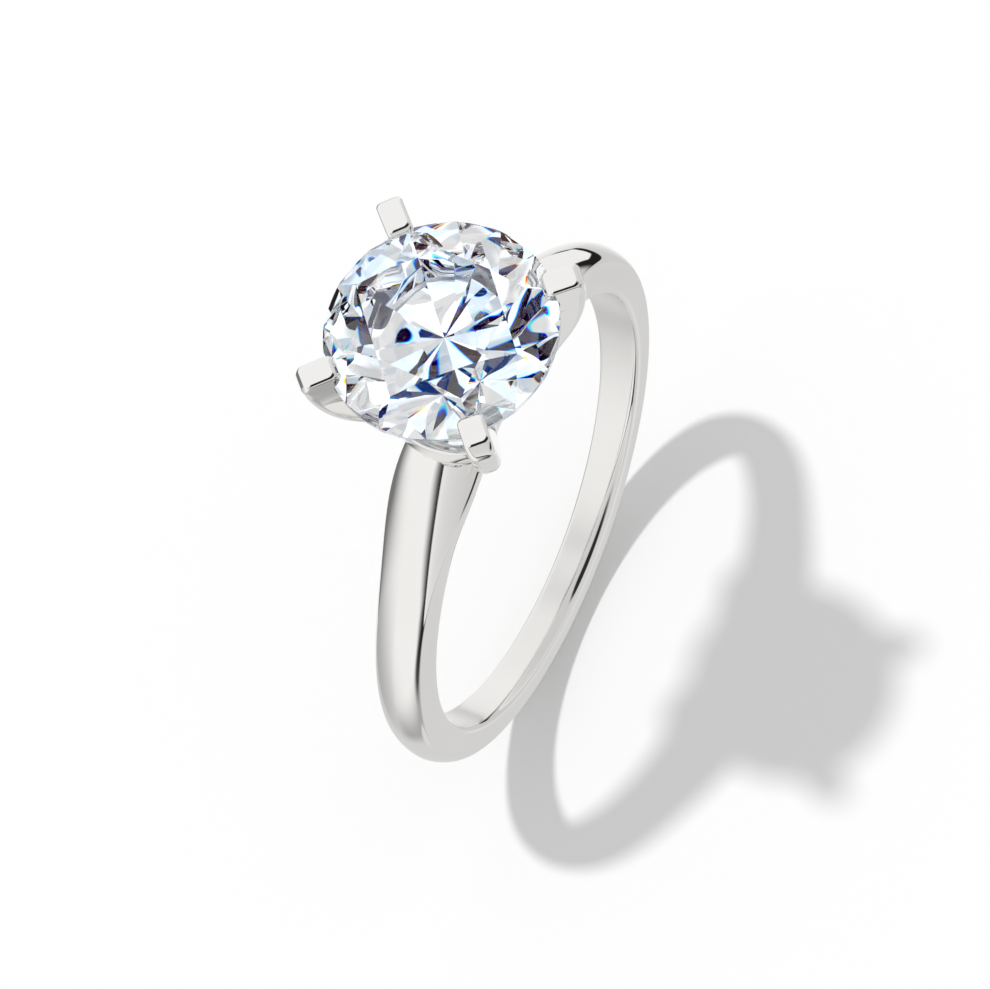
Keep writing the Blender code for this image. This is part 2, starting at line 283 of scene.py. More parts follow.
shankValues = {
    "Hole Diameter": 16.9 * millimetre,
    "Inner Width": 1.27 * millimetre,
    "Inner Widening": 0.81 * millimetre,
    "Width": 1.36 * millimetre,
    "Widening": 0.59 * millimetre,
    "Shoulder Flare": 1.03 * millimetre,
    "Shoulder Angle": 18.5,
    "Shoulder Spread": 18.0,
    "Thickness": 1.63 * millimetre,
    "Top Thickening": 0.15 * millimetre,
    "Side Thinning": 0.58 * millimetre,
    "Wall Share": 0.75,
    "Wall Bulge": 0.03 * millimetre,
    "Dome Fullness": 1.67,
    "Edge Rounding": 0.07 * millimetre,
    "Edge Widening": 0.17 * millimetre,
    "Edge Flatness": 0.72,
    "Edge Filing": 4.0,
    "Seat Height": 10.1 * millimetre,
    "Steps Around": 720,
    "Steps Across": 112,
}
shankFinish = {
    "colour": (0.90, 0.89, 0.872),
    "tint": (0.885, 0.875, 0.855),
    "roughness": 0.035,
    "roughnessSpread": 0.02,
    "cloudScale": 260.0,
    "polishStretch": (1.0, 0.35, 1.0),
    "polishScale": 5200.0,
    "polishSpread": 0.02,
    "polishStrength": 0.04,
    "polishDepth": 0.000002,
    "boreRadius": shankValues["Hole Diameter"] / 2,
    "boreStart": 0.0012 * millimetre,
    "boreEnd": 0.004 * millimetre,
    "boreRoughness": 0.2,
}


def makeShankTree():
    # The band's section, dome, side walls and inner flat, follows its angle round the hole
    net, given = newShapeTree("shankSection", shankValues)
    columns = given["Steps Around"] + 1
    rows = given["Steps Across"] + 1
    grid, around, across = gridCoordinates(net, columns, rows)
    turn = around * math.tau
    share = (turn.to("SINE") + 1.0) * 0.5
    fromStone = turn.to("SINE").held(-1.0, 1.0).to("ARCCOSINE") * math.degrees(1.0)
    nearShoulder = (fromStone - given["Shoulder Angle"]) / given["Shoulder Spread"]
    farShoulder = (fromStone + given["Shoulder Angle"]) / given["Shoulder Spread"]
    shoulders = (-(nearShoulder * nearShoulder)).to("EXPONENT") \
        + (-(farShoulder * farShoulder)).to("EXPONENT")
    outer = (given["Width"] + given["Widening"] * share + given["Shoulder Flare"] * shoulders) * 0.5
    inner = (given["Inner Width"] + given["Inner Widening"] * share) * 0.5
    thickness = given["Thickness"] + given["Top Thickening"] * share \
        - given["Side Thinning"] * share * (1.0 - share)
    wall = thickness * given["Wall Share"]
    # Half the section runs from the dome's top, 0, to the middle of the inner flat, 1
    half = (across - 0.5).to("ABSOLUTE") * 2.0
    domeEnd = 0.56
    wallEnd = 0.82
    edgeEnd = 0.9
    bend = (1.0 - (half / domeEnd).held()) * (math.pi / 2)
    power = 2.0 / given["Dome Fullness"]
    domeWidth = outer * bend.to("COSINE").held() ** power
    domeHeight = wall + (thickness - wall) * bend.to("SINE").held() ** power
    # The front edge of the finger hole is filed wider and flatter towards the foot
    filed = across.to("LESS_THAN", 0.5) * (1.0 - share) ** given["Edge Filing"]
    rounding = given["Edge Rounding"] + given["Edge Widening"] * filed
    lowest = rounding / wall
    rise = 1.0 - ((half - domeEnd) / (wallEnd - domeEnd)).held() * (1.0 - lowest)
    fall = 1.0 - rise
    wallWidth = outer - (outer - inner) * fall * fall + given["Wall Bulge"] * 4.0 * fall * fall * rise
    corner = ((half - wallEnd) / (edgeEnd - wallEnd)).held()
    left = 1.0 - corner
    footWidth = outer - (outer - inner) * (1.0 - lowest) * (1.0 - lowest)
    flatness = given["Edge Flatness"] * filed
    bendWidth = left * left * footWidth + 2.0 * corner * left * inner \
        + corner * corner * (inner - rounding)
    chordWidth = left * footWidth + corner * (inner - rounding)
    edgeWidth = bendWidth + (chordWidth - bendWidth) * flatness
    edgeHeight = left * rounding * (left + corner * flatness)
    flatShare = ((half - edgeEnd) / (1.0 - edgeEnd)).held()
    flatWidth = (inner - rounding) * (1.0 - flatShare)
    onFlat = half.to("GREATER_THAN", edgeEnd)
    onEdge = half.to("GREATER_THAN", wallEnd)
    onWall = half.to("GREATER_THAN", domeEnd)
    width = net.pick(onEdge, edgeWidth, net.pick(onWall, wallWidth, domeWidth))
    width = net.pick(onFlat, flatWidth, width)
    height = net.pick(onEdge, edgeHeight, net.pick(onWall, wall * rise, domeHeight))
    height = net.pick(onFlat, 0.0, height)
    radius = given["Hole Diameter"] * 0.5 + height
    place = net.add("ShaderNodeCombineXYZ", None, {
        "X": radius * turn.to("COSINE"),
        "Y": (across - 0.5).to("SIGN") * width,
        "Z": (radius * turn.to("SINE")).to("MINIMUM", given["Seat Height"])})[0]
    closeShapeTree(net, given, grid, place, flip=True)
    return net.tree


shankMetal = makeMetal("polishedShankMetal", shankFinish)
shankValues["Seat Height"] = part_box("shank")[1].z
shankMesh = shapeFromTree("polished_shank", makeShankTree(), shankValues, shankMetal)
addPiece("polished_shank", shankMesh, "shank_metal", "shank")
print("shank made,", len(shankMesh.polygons), "faces")


# Stone

stoneValues = {
    "diameter": 8.1 * millimetre,
    "girdleThickness": 0.26 * millimetre,
    "tableShare": 0.595,
    "starShare": 0.5,
    "lowerHalfShare": 0.77,
    "crownAngle": 34.5,
    "pavilionAngle": 40.75,
    "facetTurn": 18.0,
    "girdleSteps": 256,
    "bodyColour": (0.97, 0.985, 1.0),
    "cloudScale": 420.0,
    "cloudRange": (0.35, 0.65),
    "refraction": 2.417,
    "filmThickness": 92.0,
    "filmRefraction": 1.55,
    # The girdle's blue-grey colour is painted reflection: the clear stone's rim looks bluish from the
    # light it mirrors
    "girdleColour": (0.74, 0.80, 0.90),
    "girdleRoughness": 0.22,
    "girdleRoughnessSpread": 0.1,
    "girdleGrainScale": 9000.0,
    "girdleGrainStrength": 0.2,
    "girdleGrainDepth": 0.01 * millimetre,
    "uprightLimit": 0.2,
    "sharpAngle": 12.0,
}
stoneRadius = stoneValues["diameter"] / 2
tableRadius = stoneRadius * stoneValues["tableShare"]
crownSlope = math.tan(math.radians(stoneValues["crownAngle"]))
pavilionSlope = math.tan(math.radians(stoneValues["pavilionAngle"]))
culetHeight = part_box("centre_diamond")[0].z
girdleBottom = culetHeight + stoneRadius * pavilionSlope
girdleTop = girdleBottom + stoneValues["girdleThickness"]
girdleHeight = (girdleBottom + girdleTop) / 2
tableHeight = girdleTop + (stoneRadius - tableRadius) * crownSlope


def starTip():
    # Where a star facet ends on the ridge between two kite facets
    tableEdge = tableRadius * math.cos(halfStep)
    radius = tableEdge + stoneValues["starShare"] * (stoneRadius - tableEdge)
    return radius, girdleTop + (stoneRadius - radius * math.cos(halfStep)) * crownSlope


def lowerHalfTip():
    # Where two lower halves end on the ridge between two pavilion mains
    radius = stoneRadius * (1 - stoneValues["lowerHalfShare"])
    return radius, girdleBottom - (stoneRadius - radius * math.cos(halfStep)) * pavilionSlope


def facetPoint(turn, radius, height):
    return Vector((radius * math.cos(turn), radius * math.sin(turn), height))


def facetPlanes():
    # Three points on each facet: the table, then each eighth's mains, star and halves
    planes = [[facetPoint(k, tableRadius, tableHeight) for k in (0.0, 2.0, 4.0)]]
    for eighth in range(8):
        middle = 2 * halfStep * eighth
        across = facetPoint(middle + math.pi / 2, stoneRadius, 0.0)
        mains = ((girdleTop, tableRadius, tableHeight), (girdleBottom, 0.0, culetHeight))
        for rim, inner, tip in mains:
            edge = facetPoint(middle, stoneRadius, rim)
            planes.append([edge, edge + across, facetPoint(middle, inner, tip)])
        ridge = middle + halfStep
        following = middle + 2 * halfStep
        planes.append([
            facetPoint(middle, tableRadius, tableHeight),
            facetPoint(following, tableRadius, tableHeight),
            facetPoint(ridge, *starTip()),
        ])
        for rim, tip in ((girdleTop, starTip()), (girdleBottom, lowerHalfTip())):
            for corner in (middle, following):
                planes.append([
                    facetPoint(corner, stoneRadius, rim),
                    facetPoint(ridge, stoneRadius, rim),
                    facetPoint(ridge, *tip),
                ])
    return planes


def cutStone():
    # A round blank is ground down by each facet's plane in turn
    shape = bmesh.new()
    bmesh.ops.create_cone(
        shape, cap_ends=True, segments=stoneValues["girdleSteps"],
        radius1=stoneRadius, radius2=stoneRadius, depth=4 * stoneRadius)
    bmesh.ops.translate(shape, vec=(0.0, 0.0, girdleHeight), verts=shape.verts)
    centre = Vector((0.0, 0.0, girdleHeight))
    for corner, second, third in facetPlanes():
        normal = (second - corner).cross(third - corner).normalized()
        if normal.dot(corner - centre) < 0:
            normal.negate()
        everything = shape.verts[:] + shape.edges[:] + shape.faces[:]
        bmesh.ops.bisect_plane(
            shape, geom=everything, dist=weldDistance,
            plane_co=corner, plane_no=normal, clear_outer=True)
        rim = [edge for edge in shape.edges if edge.is_boundary]
        if rim:
            bmesh.ops.contextual_create(shape, geom=rim)
    bmesh.ops.remove_doubles(shape, verts=shape.verts, dist=weldDistance)
    bmesh.ops.recalc_face_normals(shape, faces=shape.faces)
    turned = Matrix.Rotation(math.radians(stoneValues["facetTurn"]), 3, "Z")
    bmesh.ops.rotate(shape, matrix=turned, verts=shape.verts)
    for face in shape.faces:
        onGirdle = abs(face.normal.z) < stoneValues["uprightLimit"]
        face.material_index = 1 if onGirdle else 0
        face.smooth = onGirdle
    mesh = finishMesh(shape, "brilliant_cut_stone")
    mesh.set_sharp_from_angle(angle=math.radians(stoneValues["sharpAngle"]))
    return mesh


def makeStoneMaterial():
    material, net = newMaterial("clearBrilliant")
    place = net.add("ShaderNodeTexCoord")["Object"]
    cloud = net.add("ShaderNodeTexNoise", None, {
        "Vector": place, "Scale": stoneValues["cloudScale"], "Detail": 2.0})[0]
    share = cloud.eased(*stoneValues["cloudRange"])
    clear = (1.0, 1.0, 1.0, 1.0)
    colour = net.mixColour(share, (*stoneValues["bodyColour"], 1.0), clear)
    # The thin film takes away most of the front glare, so the dark facets stay dark
    shader = net.add("ShaderNodeBsdfPrincipled", None, {
        "Base Color": colour, "Roughness": 0.0, "IOR": stoneValues["refraction"],
        "Thin Film Thickness": stoneValues["filmThickness"],
        "Thin Film IOR": stoneValues["filmRefraction"], "Transmission Weight": 1.0})[0]
    net.add("ShaderNodeOutputMaterial", None, {"Surface": shader})
    return material


def makeGirdleMaterial():
    material, net = newMaterial("brutedGirdle")
    place = net.add("ShaderNodeTexCoord")["Object"]
    grain = net.add("ShaderNodeTexNoise", None, {
        "Vector": place, "Scale": stoneValues["girdleGrainScale"], "Detail": 3.0})[0]
    bump = net.add("ShaderNodeBump", None, {
        "Strength": stoneValues["girdleGrainStrength"],
        "Distance": stoneValues["girdleGrainDepth"], "Height": grain})[0]
    roughness = stoneValues["girdleRoughness"] + stoneValues["girdleRoughnessSpread"] * (grain - 0.5)
    # The bruted finish is real grain and roughness; the blue-grey base colour is painted reflection
    shader = net.add("ShaderNodeBsdfPrincipled", None, {
        "Base Color": (*stoneValues["girdleColour"], 1.0),
        "Roughness": roughness,
        "IOR": stoneValues["refraction"], "Transmission Weight": 1.0, "Normal": bump})[0]
    net.add("ShaderNodeOutputMaterial", None, {"Surface": shader})
    return material


stoneMesh = cutStone()
stoneMesh.materials.append(makeStoneMaterial())
stoneMesh.materials.append(makeGirdleMaterial())
addPiece("brilliant_cut_stone", stoneMesh, "diamond", "centre_diamond")
print("stone cut,", len(stoneMesh.polygons), "faces")


# Turned and cut pieces

def turnedMesh(name, profile, steps, rounding=0.0):
    # A profile in radius and height, down its outer side and up its inner side, goes round Z
    shape = bmesh.new()
    corners = [shape.verts.new((radius, 0.0, height)) for radius, height in profile]
    for start, end in zip(corners, corners[1:] + corners[:1]):
        if start.co.x > 0.0 or end.co.x > 0.0:
            shape.edges.new((start, end))
    blank = addObject(name, finishMesh(shape, name))
    screw = blank.modifiers.new("turned", "SCREW")
    screw.steps = screw.render_steps = steps
    screw.use_merge_vertices = True
    screw.merge_threshold = weldDistance
    if rounding > 0.0:
        bevel = blank.modifiers.new("rounded", "BEVEL")
        bevel.width = rounding
        bevel.segments = bevelSteps
        bevel.limit_method = "ANGLE"
        bevel.angle_limit = bevelledAngle
    return takeMesh(blank)


def takeMesh(blank):
    # The finished mesh of an object with modifiers, whose object is then removed
    bpy.context.view_layer.update()
    evaluated = blank.evaluated_get(bpy.context.evaluated_depsgraph_get())
    mesh = bpy.data.meshes.new_from_object(evaluated)
    mesh.name = blank.name
    bpy.data.objects.remove(blank)
    return mesh


def blockMesh(name, size, middle, turn):
    shape = bmesh.new()
    bmesh.ops.create_cube(shape, size=1.0)
    bmesh.ops.scale(shape, vec=size, verts=shape.verts)
    bmesh.ops.translate(shape, vec=middle, verts=shape.verts)
    bmesh.ops.rotate(shape, matrix=Matrix.Rotation(turn, 3, "Z"), verts=shape.verts)
    return finishMesh(shape, name)


def cutMesh(name, mesh, cutterMeshes):
    # Takes the cutters out of a mesh
    blank = addObject(name, mesh)
    cutters = []
    for index, cutterMesh in enumerate(cutterMeshes):
        cutter = addObject(name + " cutter", cutterMesh)
        cutters.append(cutter)
        boolean = blank.modifiers.new("cut " + str(index), "BOOLEAN")
        boolean.operation = "DIFFERENCE"
        boolean.solver = "EXACT"
        boolean.object = cutter
    result = takeMesh(blank)
    for cutter in cutters:
        bpy.data.objects.remove(cutter)
    return result


def smoothBelow(mesh, degrees):
    mesh.shade_smooth()
    mesh.set_sharp_from_angle(angle=math.radians(degrees))


# Claws

clawValues = {
    "Angle": 0.0,
    "Back Radius": 5.1 * millimetre,
    "Blade Width": 0.93 * millimetre,
    "Belly": 0.0,
    "Nose Radius": 3.64 * millimetre,
    "Lip Run": 0.062 * millimetre,
    "Lip Drop": 0.016 * millimetre,
    "Nose Run": 0.17 * millimetre,
    "Nose Drop": 0.24 * millimetre,
    "Back Run": 0.17 * millimetre,
    "Back Drop": 0.2 * millimetre,
    "Side Run": 0.04 * millimetre,
    "Side Drop": 0.07 * millimetre,
    "Top Height": 15.456 * millimetre,
    "Curve Height": 15.15 * millimetre,
    "Inner Top Radius": 3.55 * millimetre,
    "Inner Top Height": 14.15 * millimetre,
    "Foot Radius": 2.85 * millimetre,
    "Foot Inner Radius": 1.9 * millimetre,
    "Foot Height": 10.46 * millimetre,
    "Tip Corner": 0.2 * millimetre,
    "Back Corner": 0.4 * millimetre,
    "Corner Depth": 0.8 * millimetre,
    "Corner Rise": 1.2 * millimetre,
    "Cap Inset": 0.97,
    "Corner Steps": 8,
    "Rows": 150,
}
clawCurveRise = 0.4 * millimetre
clawSeatDrop = 0.6 * millimetre
clawSharpAngle = 32.0
# Each claw's angle in degrees, then in millimetres its reach past the stone, the run and
# the drop of its rounded back, and its belly
clawPlaces = {
    "claw_back_right": (44.8, 1.13, 0.17, 0.2, 0.0),
    "claw_back_left": (134.9, 1.05, 0.17, 0.3, 0.14),
    "claw_front_left": (221.3, 1.18, 0.4, 0.5, 0.0),
    "claw_front_right": (310.3, 1.04, 0.17, 0.2, 0.0),
}
clawFinish = {
    "colour": (0.905, 0.897, 0.882),
    "tint": (0.89, 0.882, 0.865),
    "roughness": 0.03,
    "roughnessSpread": 0.02,
    "cloudScale": 900.0,
    "polishStretch": (1.0, 1.0, 0.4),
    "polishScale": 7000.0,
    "polishSpread": 0.02,
    "polishStrength": 0.04,
    "polishDepth": 0.000002,
}


def fillet(given, depth, run, drop):
    # How far a wall stands back at a depth below the claw's flat tip: a filed lip, then a round
    rest = 1.0 - (depth / drop).held()
    lip = 1.0 - (depth / given["Lip Drop"]).held()
    return run * rest * rest + given["Lip Run"] * lip


def makeClawTree():
    # Rounded rectangles stacked from the foot to the flat tip
    net, given = newShapeTree("clawBlade", clawValues)
    steps = given["Corner Steps"]
    rows = given["Rows"]
    around = 4.0 * (steps + 1.0)
    grid, turnShare, riseShare = gridCoordinates(net, around + 1.0, rows + 1.0)
    column = (turnShare * around).to("ROUND")
    row = (riseShare * rows).to("ROUND")
    quadrant = ((column + 0.5) / (steps + 1.0)).to("FLOOR").to("MODULO", 4.0)
    step = column.to("MODULO", steps + 1.0)
    corner = (quadrant + step / steps) * (math.pi / 2)
    outerSide = (quadrant - 1.5).to("ABSOLUTE").to("GREATER_THAN", 1.0)
    leftSide = 1.0 - 2.0 * quadrant.to("GREATER_THAN", 1.5)
    # Rows crowd towards the top, and the first and last two close the ends
    share = ((row - 2.0) / (rows - 4.0)).held()
    fall = (1.0 - share) * (1.0 - share)
    depth = fall * (given["Top Height"] - given["Foot Height"])
    height = given["Top Height"] - depth
    # Back: straight shin, then an arc about the stone's axis, then the rounded tip
    drop = given["Curve Height"] - given["Foot Height"]
    reach = (given["Foot Radius"] * given["Foot Radius"] + drop * drop).to("SQRT")
    lean = drop.to("ARCTAN2", given["Foot Radius"]) - (given["Back Radius"] / reach).to("ARCCOSINE")
    leanHeight = given["Curve Height"] - given["Back Radius"] * lean.to("SINE")
    leanRadius = given["Back Radius"] * lean.to("COSINE")
    shinShare = ((height - given["Foot Height"]) / (leanHeight - given["Foot Height"])).held()
    shin = given["Foot Radius"] + (leanRadius - given["Foot Radius"]) * shinShare
    below = (given["Curve Height"] - height).held(0.0, 1.0)
    arc = (given["Back Radius"] * given["Back Radius"] - below * below).to("SQRT")
    back = net.pick(height.to("LESS_THAN", leanHeight), shin, arc)
    back = back - fillet(given, depth, given["Back Run"], given["Back Drop"])
    # Inner edge: up to the stone's seat, then the nose over the stone
    innerDrop = given["Inner Top Height"] - given["Foot Height"]
    lowShare = ((height - given["Foot Height"]) / innerDrop).held()
    innerLean = given["Inner Top Radius"] - given["Foot Inner Radius"]
    inner = given["Foot Inner Radius"] + innerLean * lowShare
    onNose = height.to("GREATER_THAN", given["Inner Top Height"])
    inner = net.pick(onNose, given["Nose Radius"], inner)
    inner = inner + fillet(given, depth, given["Nose Run"], given["Nose Drop"])
    bellyShare = 4.0 * depth / (given["Top Height"] - given["Foot Height"])
    belly = given["Belly"] * bellyShare * (1.0 - bellyShare * 0.25)
    halfWidth = given["Blade Width"] * 0.5 + belly \
        - fillet(given, depth, given["Side Run"], given["Side Drop"])
    roundness = (depth / given["Corner Depth"]).held().eased(0.0, 1.0)
    footward = ((height - given["Foot Height"]) / given["Corner Rise"]).held().eased(0.0, 1.0)
    cornerGrowth = (given["Back Corner"] - given["Tip Corner"]) * roundness * footward
    backCorner = given["Tip Corner"] + cornerGrowth
    cornerRadius = net.pick(outerSide, backCorner, given["Tip Corner"])
    cosine = corner.to("COSINE")
    outerPlace = back - cornerRadius + cornerRadius * cosine
    innerPlace = inner + cornerRadius + cornerRadius * cosine
    outward = net.pick(outerSide, outerPlace, innerPlace)
    sideways = leftSide * (halfWidth - cornerRadius) + cornerRadius * corner.to("SINE")
    # The last row at each end closes on the middle, and the one before it lies just inside the rim
    fromEnd = row.to("MINIMUM", rows - row)
    nearEnd = net.pick(fromEnd.to("LESS_THAN", 1.5), given["Cap Inset"], 1.0)
    closing = net.pick(fromEnd.to("LESS_THAN", 0.5), 0.0, nearEnd)
    middle = (back + inner) * 0.5
    outward = middle + (outward - middle) * closing
    sideways = sideways * closing
    turn = given["Angle"] * math.radians(1.0)
    place = net.add("ShaderNodeCombineXYZ", None, {
        "X": outward * turn.to("COSINE") - sideways * turn.to("SINE"),
        "Y": outward * turn.to("SINE") + sideways * turn.to("COSINE"),
        "Z": height})[0]
    closeShapeTree(net, given, grid, place)
    return net.tree


def seatProfile():
    # The stone's widest outline as it turns, grown by the fit, as a setting burr leaves it
    tipRadius, tipHeight = starTip()
    lowRadius, lowHeight = lowerHalfTip()
    return [
        (0.0, tableHeight + fitGap),
        (tableRadius + fitGap, tableHeight + fitGap),
        (tipRadius + fitGap, tipHeight + fitGap),
        (stoneRadius + fitGap, girdleTop + fitGap),
        (stoneRadius + fitGap, girdleBottom - fitGap),
        (lowRadius + fitGap, lowHeight - fitGap),
        (0.0, culetHeight - fitGap),
    ]


clawTree = makeClawTree()
clawMetal = makeMetal("polishedClawMetal", clawFinish)
clawValues["Curve Height"] = girdleHeight + clawCurveRise
clawValues["Inner Top Height"] = girdleHeight - clawSeatDrop
for clawName, (angle, reach, backRun, backDrop, belly) in clawPlaces.items():
    low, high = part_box(clawName)
    clawValues["Back Run"] = backRun * millimetre
    clawValues["Back Drop"] = backDrop * millimetre
    clawValues["Belly"] = belly * millimetre
    clawValues["Angle"] = angle
    clawValues["Back Radius"] = stoneRadius + reach * millimetre
    clawValues["Top Height"] = high.z
    clawValues["Foot Height"] = low.z
    blade = shapeFromTree(clawName + "_blade", clawTree, clawValues, clawMetal)
    seat = turnedMesh("stone seat", seatProfile(), stoneValues["girdleSteps"])
    blade = cutMesh(clawName + "_blade", blade, [seat])
    smoothBelow(blade, clawSharpAngle)
    addPiece(clawName + "_blade", blade, "claw_metal", clawName)
    print("claw made,", clawName, len(blade.polygons), "faces")


# Collar, rail and peg

collarValues = {
    "diameter": 5.7 * millimetre,
    "rim": 0.55 * millimetre,
    "floor": 0.3 * millimetre,
    "waist": 2.8 * millimetre,
    "scallopDiameter": 5.2 * millimetre,
    "rounding": 0.1 * millimetre,
    "footDepth": 0.95 * millimetre,
    "steps": 224,
    "sharpAngle": 30.0,
}
collarFinish = {
    "colour": (0.885, 0.875, 0.86),
    "tint": (0.86, 0.85, 0.83),
    "roughness": 0.06,
    "roughnessSpread": 0.03,
    "cloudScale": 700.0,
    "polishStretch": (1.0, 1.0, 0.3),
    "polishScale": 6000.0,
    "polishSpread": 0.03,
    "polishStrength": 0.08,
    "polishDepth": 0.000003,
}
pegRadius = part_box("head_peg")[1].x


def makeCollar():
    # A dished disc, filed hollow on both sides of the shank and notched for the claws' feet
    low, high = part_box("head_collar")
    radius = collarValues["diameter"] / 2
    bore = pegRadius + fitGap
    floorTop = low.z + collarValues["floor"]
    profile = [
        (radius, high.z), (radius, low.z), (bore, low.z),
        (bore, floorTop), (radius - collarValues["rim"], high.z),
    ]
    disc = turnedMesh("collar", profile, collarValues["steps"], collarValues["rounding"])
    cutters = []
    scallopRadius = collarValues["scallopDiameter"] / 2
    for side in (-1, 1):
        shape = bmesh.new()
        bmesh.ops.create_cone(
            shape, cap_ends=True, segments=collarValues["steps"],
            radius1=scallopRadius, radius2=scallopRadius, depth=4 * (high.z - low.z))
        place = (0.0, side * (collarValues["waist"] / 2 + scallopRadius), (low.z + high.z) / 2)
        bmesh.ops.translate(shape, vec=place, verts=shape.verts)
        cutters.append(finishMesh(shape, "collar scallop"))
    start = radius - collarValues["footDepth"] - fitGap
    length = collarValues["diameter"]
    for angle, *_ in clawPlaces.values():
        size = (length, clawValues["Blade Width"] + 2 * fitGap, 2 * (high.z - low.z))
        middle = (start + length / 2, 0.0, floorTop + size[2] / 2)
        cutters.append(blockMesh("claw notch", size, middle, math.radians(angle)))
    mesh = cutMesh("head_collar_disc", disc, cutters)
    smoothBelow(mesh, collarValues["sharpAngle"])
    return mesh


collarMesh = makeCollar()
collarMesh.materials.clear()
collarMesh.materials.append(makeMetal("polishedCollarMetal", collarFinish))
addPiece("head_collar_disc", collarMesh, "collar_metal", "head_collar")

railValues = {
    "wall": 0.45 * millimetre,
    "rounding": 0.14 * millimetre,
    "steps": 224,
    "sharpAngle": 40.0,
}
railFinish = dict(collarFinish, colour=(0.875, 0.865, 0.85), roughness=0.08)


def innerRadius(height):
    # The claws' inner edge, which the rail is soldered to
    top = clawValues["Inner Top Height"]
    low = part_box("claw_back_left")[0].z - fitGap
    share = (height - low) / (top - low)
    foot = clawValues["Foot Inner Radius"]
    return foot + (clawValues["Inner Top Radius"] - foot) * share


low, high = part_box("gallery_rail")
outerTop = innerRadius(high.z) - fitGap
outerBottom = innerRadius(low.z) - fitGap
railMesh = turnedMesh("gallery_rail_ring", [
    (outerTop, high.z), (outerBottom, low.z),
    (outerBottom - railValues["wall"], low.z), (outerTop - railValues["wall"], high.z),
], railValues["steps"], railValues["rounding"])
smoothBelow(railMesh, railValues["sharpAngle"])
railMesh.materials.append(makeMetal("polishedRailMetal", railFinish))
addPiece("gallery_rail_ring", railMesh, "rail_metal", "gallery_rail")

pegFinish = dict(collarFinish, colour=(0.86, 0.85, 0.835), roughness=0.15, polishStretch=(0.2, 0.2, 3.0))
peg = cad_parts["head_peg"]
pegMetal = makeMetal("turnedPegMetal", pegFinish)
if not peg.data.materials:
    peg.data.materials.append(pegMetal)
for slotIndex in range(len(peg.material_slots)):
    peg.material_slots[slotIndex].material = pegMetal
print("collar, rail and peg made")


# Floor, light and camera

studioValues = {
    "floorSize": 3.0,
    "floorGap": 0.01 * millimetre,
    "floorColour": (0.97, 0.97, 0.97),
    "skyLevel": 0.635,
    "sunLevel": 1.36,
    "sunAngle": 3.5,
    "sunDirection": (0.01, -0.385, -1.0),
    "facetBounces": 16,
    "allBounces": 24,
}
# The mirrored sky has axes of its own: a turn and a rise in degrees about a pole
skyValues = {
    "pole": (-0.2609, 0.8090, -0.5268),
    "start": (0.9517, 0.3069, 0.0),
    "quarter": (0.1617, -0.5014, -0.8500),
    "lobe": 0.965,
    "lobeFar": 0.46,
    "lobeFade": (20.0, 84.0),
    "edgeHeight": -19.4,
    "edgeSwing": 1.9,
    "edgePeak": 220.0,
    "edgeWaves": 3.0,
    "edgeBlur": 0.7,
    "flag": 0.015,
    "backDisc": 0.95,
    "lineWidth": 9.0,
    "lineRightWidth": 3.0,
    "lineRightTurns": (235.0, 262.0),
    "lineLeftWidth": 12.0,
    "lineLeftTurns": (182.0, 150.0),
    "lineFade": (1.0, 0.04),
    "strip": 0.73,
    "stripFar": 0.66,
    "stripFade": (5.0, 40.0),
    "stripLine": 0.2,
    "stripLineFall": 0.22,
    "hookTailLean": 0.6,
    "hookTipStep": 2.0,
    "hookTipRises": (11.0, 17.0),
    "hookFootLean": 0.33,
}
# Layers are painted in this order. Each one brings the sky to a level or dims it by a
# share, over the product of its ranges. A range is a coordinate, where it starts and where
# it is full. A disc is the turn and rise of its middle, its full radius and where it is gone.
lobeLayers = {
    "leftShade": ("to", 0.43, ("turn", 160.0, 126.0), ("rise", 62.0, 42.0)),
    "backSide": ("to", 0.66, ("turn", 118.0, 100.0)),
    "leftDisc": ("to", 0.7, ("disc", 88.0, 33.0, 24.0, 34.0)),
    "rightShade": ("to", 0.2, ("turn", 230.0, 275.0), ("rise", 14.0, 50.0)),
    "sideFlag": ("dim", 0.9, ("disc", 141.0, -9.0, 6.0, 21.0)),
    "backWall": ("to", 0.96, ("turn", 76.0, 64.0), ("rise", 8.0, 38.0)),
    "clawLamp": ("to", 0.8, ("disc", 78.0, 6.0, 1.0, 5.0)),
    "sideLamp": ("to", 0.76, ("disc", 116.0, 19.0, 6.0, 11.0)),
}
# A black hook with a bright inside, which the back shoulder mirrors
hookDark = (
    ("slant", 44.1, 42.5), ("rise", -14.5, -8.5), ("rise", 24.0, 22.5), ("hookTail", 9.0, 13.0),
)
hookBright = (
    ("hookTip", 38.2, 36.8), ("turn", 32.6, 31.0), ("hookFoot", -13.6, -12.2), ("rise", 24.5, 23.0),
)
farSide = ("to", skyValues["lobe"], ("turn", 265.0, 275.0), ("rise", 30.0, 16.0))
lineEnds = (("turn", 108.0, 128.0), ("turn", 274.0, 263.0))
cornerFlag = ("dim", 0.75, ("disc", 343.0, -20.0, 2.0, 7.0))
stripLayers = {
    "clawLine": (
        "dim", 0.97, ("rise", -21.3, -22.1), ("rise", -36.0, -33.0),
        ("turn", 258.0, 264.0), ("turn", 303.0, 293.0)),
    "boreStreak": (
        "dim", 0.96, ("disc", 145.0, -64.0, 19.0, 24.0), ("rise", -42.0, -58.0),
        ("turn", 186.0, 168.0)),
}


def aimed(direction, axis):
    x, y, z = direction
    return x * axis[0] + y * axis[1] + z * axis[2]


def skyAxis(turn, rise):
    # The direction at a turn and a rise, in degrees, on the sky's own axes
    turn, rise = math.radians(turn), math.radians(rise)
    shares = (math.cos(rise) * math.cos(turn), math.cos(rise) * math.sin(turn), math.sin(rise))
    axes = (skyValues["start"], skyValues["quarter"], skyValues["pole"])
    return [sum(share * axis[k] for share, axis in zip(shares, axes)) for k in range(3)]


